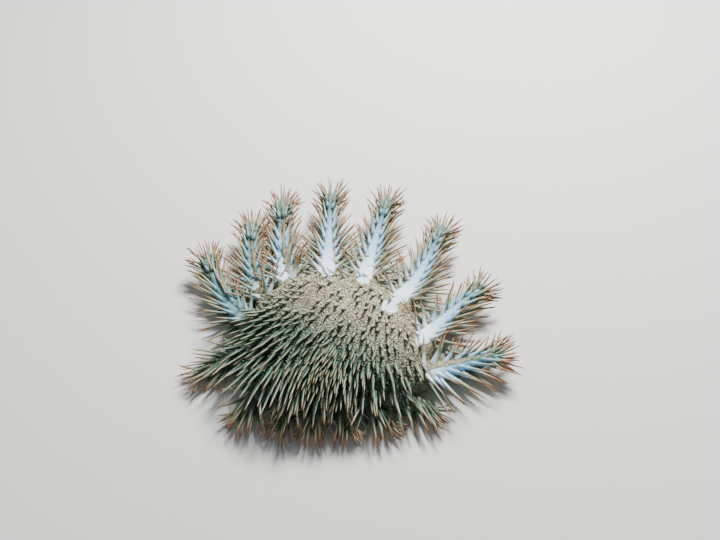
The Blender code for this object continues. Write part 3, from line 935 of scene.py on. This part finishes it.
# %% Shader nodes
class Paint:
    def __init__(self, name):
        self.material = bpy.data.materials.new(name)
        self.material.use_nodes = True
        self.tree = self.material.node_tree
        self.shader = self.tree.nodes["Principled BSDF"]

    def node(self, kind, settings, inputs, output=0):
        made = self.tree.nodes.new(kind)
        for key, value in settings.items():
            if key == "stops":
                ramp = made.color_ramp
                while len(ramp.elements) < len(value):
                    ramp.elements.new(1.0)
                for element, (at, colour) in zip(ramp.elements, value):
                    element.position = at
                    element.color = (*colour, 1.0)
            else:
                setattr(made, key, value)
        for key, value in inputs.items():
            self.give(made.inputs[key], value)
        return Wire(self, made.outputs[output])

    def give(self, socket, value):
        if isinstance(value, Wire):
            self.tree.links.new(value.socket, socket)
        elif socket.type == "RGBA":
            socket.default_value = (*value, 1.0)
        else:
            socket.default_value = value

    def finish(self, **values):
        # Base_Color stands for the shader's Base Color
        for key, value in values.items():
            self.give(self.shader.inputs[key.replace("_", " ")], value)
        return self.material

    def attribute(self, name):
        return self.node("ShaderNodeAttribute", {"attribute_name": name}, {}, "Fac")

    def place(self):
        return self.node("ShaderNodeTexCoord", {}, {}, "Object")

    def axis(self, letter):
        return self.node("ShaderNodeSeparateXYZ", {}, {0: self.place()}, letter)

    def noise(self, scale, detail=3.0):
        return self.node("ShaderNodeTexNoise", {}, {"Vector": self.place(), "Scale": scale, "Detail": detail})

    def cells(self, scale):
        return self.node("ShaderNodeTexVoronoi", {}, {"Vector": self.place(), "Scale": scale}, "Distance")

    def step(self, value, low, high):
        inputs = {"Value": value, "From Min": low, "From Max": high, "To Min": 0.0, "To Max": 1.0}
        return self.node("ShaderNodeMapRange", {"interpolation_type": "SMOOTHSTEP"}, inputs)

    def mix(self, factor, a, b):
        # The colour mix takes its factor from socket 0 and its colours from sockets 6 and 7
        return self.node("ShaderNodeMix", {"data_type": "RGBA"}, {0: factor, 6: a, 7: b}, 2)

    def ramp(self, along, stops):
        return self.node("ShaderNodeValToRGB", {"stops": stops}, {"Fac": along}, "Color")

    def bump(self, height, strength, distance):
        inputs = {"Strength": strength, "Distance": distance, "Height": height}
        return self.node("ShaderNodeBump", {}, inputs)


def colour(red, green, blue):
    # A colour as the eye names it, turned into the linear numbers that a shader wants
    return tuple(c / 12.92 if c <= 0.04045 else ((c + 0.055) / 1.055) ** 2.4 for c in (red, green, blue))


print("middle grey in the shader:", round(colour(0.5, 0.5, 0.5)[0], 3))

# %% [markdown]
# The body is tan at the far right and grey green at the near left, and the near left is also painted
# darker, as painted shade of the side that lies away from the main light. That follows the same
# measure as the disc spines, read from the place on the body, with noise so that it wanders. On the far
# left the arms wear teal where the others are almost white.

# %% Sides of the body
SIDE_NOISE, SIDE_WANDER = 28.0, 0.35
GREEN_SIDE = (-0.62, 0.22)
TEAL_SIDE = (0.068, 0.105)


# How far a place lies toward the near left, where the body turns grey green and is painted darker as shade
def near_left(paint):
    across = (paint.axis("X") * NEAR_LEFT[0] + paint.axis("Y") * NEAR_LEFT[1]) * (-1000.0 / DISC_R)
    wander = (paint.noise(SIDE_NOISE) - 0.5) * SIDE_WANDER
    shift = (NEAR_LEFT[0] * MIDDLE.x + NEAR_LEFT[1] * MIDDLE.y) / DISC_R
    return paint.step(across + wander - shift, *GREEN_SIDE)


print("teal from mm left of the middle:", TEAL_SIDE[0] / MM)

# %% [markdown]
# The skin is grainy tan, and deep grey green toward the near left, darkened there by painted shade. Off
# the bands, in the gaps between grains, where the bump is low, the colour is darker too: painted shade.
# The bare bands are almost white at the disc, then pale blue, and teal near the tips. Below, the skin is
# pale cream. What grows from the skin wears the same markings at its root, so they are one function that
# any material can call. They fade into each other with a little noise, so that no edge looks drawn.

# %% Markings of the body
SAND = colour(0.67, 0.66, 0.53)
ROSE = colour(0.62, 0.51, 0.42)
SPECK_AND_SHADE = colour(0.17, 0.18, 0.12)
GREEN = colour(0.27, 0.40, 0.33)
DEEP_GREEN_SHADE = colour(0.08, 0.14, 0.11)
BAND_WHITE = colour(0.88, 0.95, 1.0)
BAND_BLUE = colour(0.58, 0.77, 0.89)
BAND_TEAL = colour(0.38, 0.56, 0.58)
FLANK = colour(0.42, 0.48, 0.38)
CREAM = colour(0.84, 0.78, 0.64)
BUFF = colour(0.72, 0.62, 0.44)
# How often each noise repeats in a metre
GRAINS, SPECKS, BLOTCHES, BAND_MOTTLE, BAND_EDGE, UNDERSIDE = 430.0, 330.0, 55.0, 210.0, 130.0, 75.0


def upper_side(paint, grain, specks, tipward):
    ground = paint.mix(paint.step(paint.noise(BLOTCHES), 0.38, 0.68), SAND, ROSE)
    # Painted shade: darker in the gaps between grains, where the bump is low
    ground = paint.mix(paint.step(grain, 0.25, 0.8) * 0.6, ground, SPECK_AND_SHADE)
    # Dark specks at random, the skin's own
    ground = paint.mix(specks * 0.9, ground, SPECK_AND_SHADE)
    # Near left colour: grey green, darkened to deep green as painted shade, most in the gaps between grains
    shaded = paint.mix(paint.step(grain, 0.2, 0.7), GREEN, DEEP_GREEN_SHADE)
    ground = paint.mix(near_left(paint), ground, shaded)
    # On the flanks the gaps between grains get painted shade too
    flank = paint.mix(paint.step(grain, 0.2, 0.8) * 0.7, FLANK, DEEP_GREEN_SHADE)
    return paint.mix(paint.step(tipward, 0.30, 0.75), ground, flank)


def band_colour(paint, specks, tipward):
    band = paint.mix(paint.step(tipward, 0.03, 0.45), BAND_WHITE, BAND_BLUE)
    band = paint.mix(paint.step(tipward, 0.5, 0.95), band, BAND_TEAL)
    band = paint.mix(paint.step(paint.noise(BAND_MOTTLE), 0.45, 0.75) * 0.4, band, BAND_BLUE)
    band = paint.mix(paint.step(paint.axis("X") * -1.0, *TEAL_SIDE) * 0.8, band, BAND_TEAL)
    return paint.mix(specks * 0.22, band, GREEN)


def markings(paint, band_from=0.36, band_to=0.56):
    grain = paint.cells(GRAINS)
    specks = paint.step(paint.noise(SPECKS, 2.0), 0.54, 0.66)
    tipward = paint.attribute("tipward")
    wavering = paint.attribute("band") * (0.25 + 1.45 * paint.noise(BAND_EDGE, 4.0))
    wavering = wavering * (1.0 - 0.5 * paint.step(tipward, 0.6, 0.95))
    on_band = paint.step(wavering, band_from, band_to)
    ground = upper_side(paint, grain, specks, tipward)
    ground = paint.mix(on_band, ground, band_colour(paint, specks, tipward))
    under = paint.mix(paint.step(paint.noise(UNDERSIDE, 4.0), 0.35, 0.7), CREAM, BUFF)
    # Below, the gaps between grains get painted shade as well
    under = paint.mix(paint.step(grain, 0.3, 0.9) * 0.45, under, FLANK)
    return paint.mix(paint.attribute("below"), ground, under), grain, on_band


print("one grain of the skin in mm:", round(1000.0 / GRAINS, 1))

# %% [markdown]
# Living skin is moist, so it is fairly smooth, and its grain comes from a bump. The grain is weaker on the
# bands, which look almost bare.

# %% Skin material
RELIEF_NOISE, RELIEF_HEIGHT, BARER_ON_BAND = 300.0, 0.0013, 0.35
paint = Paint("living_skin")
ground, grain, on_band = markings(paint)
relief = ((1.0 - grain) * 0.8 + paint.noise(RELIEF_NOISE) * 0.5) * (1.0 - BARER_ON_BAND * on_band)
skin.data.materials.append(paint.finish(
    Base_Color=ground,
    Roughness=0.42 + 0.2 * paint.noise(90.0),
    Normal=paint.bump(relief, 0.6, RELIEF_HEIGHT),
))
print("skin nodes:", len(paint.tree.nodes))

# %% [markdown]
# A spine's colour runs along its length: the skin's own colour in the sleeve at its root, then grey
# green, paler up the shaft, and orange brown at the point. Its keels are painted paler, a painted highlight
# for the light they catch. The near left ones are greener, like the skin they stand on, and darker as
# painted shade, and on a band the pale sleeve climbs higher.

# %% Spine material
SHAFT_BLUE = colour(0.36, 0.51, 0.50)
SHAFT = colour(0.47, 0.56, 0.48)
PALE = colour(0.64, 0.65, 0.54)
ORANGE = colour(0.70, 0.46, 0.25)
SALMON = colour(0.69, 0.48, 0.32)
POINT = colour(0.42, 0.26, 0.17)
SLEEVE_GREEN = colour(0.16, 0.29, 0.24)
SHAFT_GREEN = colour(0.31, 0.43, 0.35)
SHELL = colour(0.51, 0.51, 0.40)
TAN = colour(0.58, 0.45, 0.32)
IVORY = colour(0.80, 0.84, 0.76)
BROWN = colour(0.38, 0.27, 0.18)
SLEEVE_ON_BAND = 0.16
SPINE_GRIT, GRIT_HEIGHT = 700.0, 0.0005

disc_stops = ((0.0, PALE), (0.2, IVORY), (0.6, IVORY), (0.88, PALE), (1.0, BROWN))
green_stops = ((0.0, SLEEVE_GREEN), (0.45, SHAFT_GREEN), (0.72, SHELL), (0.88, TAN), (1.0, POINT))
arm_stops = ((0.0, SHAFT_BLUE), (0.28, SHAFT), (0.48, PALE), (0.69, ORANGE), (1.0, POINT))
near_arm_stops = ((0.0, SLEEVE_GREEN), (0.30, SHAFT_GREEN), (0.58, PALE), (0.86, SALMON), (1.0, POINT))


def spine_paint(name, sleeve_until, stops, near_stops, keel_shine):
    paint = Paint(name)
    tone = paint.attribute("tone")
    along = paint.attribute("along") + (tone - 0.5) * 0.14 + 0.12 * paint.attribute("tipward")
    # Toward the near left the stops are greener and darker, the darkness painted shade
    shaft = paint.mix(near_left(paint), paint.ramp(along, stops), paint.ramp(along, near_stops))
    shaft = paint.mix(0.42 * tone, shaft, SPECK_AND_SHADE)
    # Painted highlight: the keels are lightened toward ivory up most of the shaft
    keel = paint.attribute("keel") ** 2 * paint.step(along, 0.95, 0.6)
    shaft = paint.mix(keel * keel_shine, shaft, IVORY)
    ground, grain, on_band = markings(paint, 0.08, 0.30)
    climbed = paint.attribute("along") - SLEEVE_ON_BAND * on_band
    return paint.finish(
        Base_Color=paint.mix(paint.step(climbed, sleeve_until, sleeve_until * 0.15), shaft, ground),
        Roughness=0.38 + 0.2 * tone,
        Normal=paint.bump(paint.noise(SPINE_GRIT), 0.25, GRIT_HEIGHT),
    )


disc_spines.data.materials.append(spine_paint("disc_spine", 0.22, disc_stops, green_stops, 0.5))
arm_spine = spine_paint("arm_spine", 0.3, arm_stops, near_arm_stops, 0.4)
far_arm_spines.data.materials.append(arm_spine)
near_arm_spines.data.materials.append(arm_spine)
print("spine materials:", disc_spines.data.materials[0].name, arm_spine.name)

# %% [markdown]
# Papulae share the skin's markings, but every one has one plain colour: most are light, a painted
# highlight for the light they catch, some tan and a few dark. Toward the near left they are green, the
# pale ones painted highlights and the deep ones painted shade.

# %% Papula material
PAPULA_HIGHLIGHT = colour(0.92, 0.93, 0.86)
PAPULA_OLIVE = colour(0.57, 0.59, 0.46)
PAPULA_TAN = colour(0.52, 0.41, 0.31)
PAPULA_DARK = colour(0.20, 0.20, 0.14)
PAPULA_GREEN_HIGHLIGHT = colour(0.56, 0.66, 0.56)
PAPULA_DEEP_SHADE = colour(0.10, 0.16, 0.13)
paint = Paint("papula_skin")
tone = paint.attribute("tone")
# Painted highlight: the lightest papulae
soft = paint.mix(paint.step(tone, 0.05, 0.45), PAPULA_HIGHLIGHT, PAPULA_OLIVE)
soft = paint.mix(paint.step(tone, 0.55, 0.65), soft, PAPULA_TAN)
soft = paint.mix(paint.step(tone, 0.74, 0.82), soft, PAPULA_DARK)
# Near left: pale green painted highlights, deep green painted shade
green = paint.mix(paint.step(tone, 0.1, 0.6), PAPULA_GREEN_HIGHLIGHT, PAPULA_DEEP_SHADE)
soft = paint.mix(near_left(paint), soft, green)
band = paint.mix(paint.step(paint.attribute("tipward"), 0.05, 0.7), BAND_WHITE, BAND_TEAL)
soft = paint.mix(paint.step(paint.attribute("band"), 0.3, 0.6), soft, band)
papulae.data.materials.append(paint.finish(Base_Color=soft, Roughness=0.35 + 0.2 * tone))
print("papula nodes:", len(paint.tree.nodes))

# %% [markdown]
# Tube feet are pale and moist with a yellow cast, and the guarding spines are cream. Both only fade along
# their length and differ a little from one to the next, so one function paints both.

# %% Materials of the underside
def paint_small(piece, name, at_root, at_tip, dulling, dull, rough, rough_varies):
    paint = Paint(name)
    tone = paint.attribute("tone")
    shade = paint.mix(paint.attribute("along"), at_root, at_tip)
    shade = paint.mix(dulling * tone, shade, dull)
    piece.data.materials.append(paint.finish(Base_Color=shade, Roughness=rough + rough_varies * tone))


foot_root, foot_tip, guard_tip = colour(0.86, 0.80, 0.62), colour(0.93, 0.90, 0.80), colour(0.72, 0.58, 0.42)
paint_small(tube_feet, "foot_skin", foot_root, foot_tip, 0.3, FLANK, 0.25, 0.15)
paint_small(mouth_spines, "guard_spine", CREAM, guard_tip, 0.35, SPECK_AND_SHADE, 0.4, 0.2)
print("materials so far:", len(bpy.data.materials))

# %% [markdown]
# Every piece rides on the one body of this still animal, and the skin stands for all the solid nodes.

# %% Pieces on the body
nodes = ["disc"] + ["arm_%02d" % (i + 1) for i in range(len(ARMS))]
for piece in (skin, disc_spines, far_arm_spines, near_arm_spines, papulae, tube_feet, mouth_spines):
    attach(piece, "root")
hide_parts(*nodes)
print("replaced nodes:", len(nodes))

# %% [markdown]
# The animal lies on a plain pale floor, a hair below it so that the two surfaces don't fight.

# %% Floor
FLOOR_HALF = 3.0
FLOOR_BELOW = 0.0003
corners = [(FLOOR_HALF * x, FLOOR_HALF * y, 0.0) for x, y in ((-1, -1), (1, -1), (1, 1), (-1, 1))]
floor_mesh = bpy.data.meshes.new("floor")
floor_mesh.from_pydata(corners, [], [(0, 1, 2, 3)])
floor = new_object("floor", floor_mesh)
floor.location.z = -FLOOR_BELOW
paint = Paint("studio_floor")
pale = paint.mix(paint.noise(3.0) * 0.3, colour(0.86, 0.86, 0.85), colour(0.82, 0.82, 0.81))
floor.data.materials.append(paint.finish(Base_Color=pale, Roughness=0.85))
print("floor in m:", 2 * FLOOR_HALF)

# %% [markdown]
# The main light is large and comes from above and behind, as daylight does, so the near left falls into
# gentle shade. A weak fill and a dim pale sky keep that shade open.

# %% Light
SKY, SKY_STRENGTH = (0.80, 0.86, 0.88, 1.0), 0.24


def area_light(name, place, size, power, tint):
    light = bpy.data.lights.new(name, "AREA")
    light.size = size
    light.energy = power
    light.color = tint
    lamp = new_object(name, light)
    lamp.location = place
    lamp.rotation_euler = (-Vector(place)).to_track_quat("-Z", "Y").to_euler()


area_light("key", place=(0.30, 0.80, 1.10), size=0.35, power=58.0, tint=(1.0, 1.0, 0.97))
area_light("fill", place=(-0.9, -0.9, 0.9), size=1.2, power=1.6, tint=(0.92, 0.97, 1.0))
world = bpy.data.worlds.new("studio")
world.use_nodes = True
sky = world.node_tree.nodes["Background"]
sky.inputs["Color"].default_value = SKY
sky.inputs["Strength"].default_value = SKY_STRENGTH
bpy.context.scene.world = world
print("lights:", len(bpy.data.lights))

# %% [markdown]
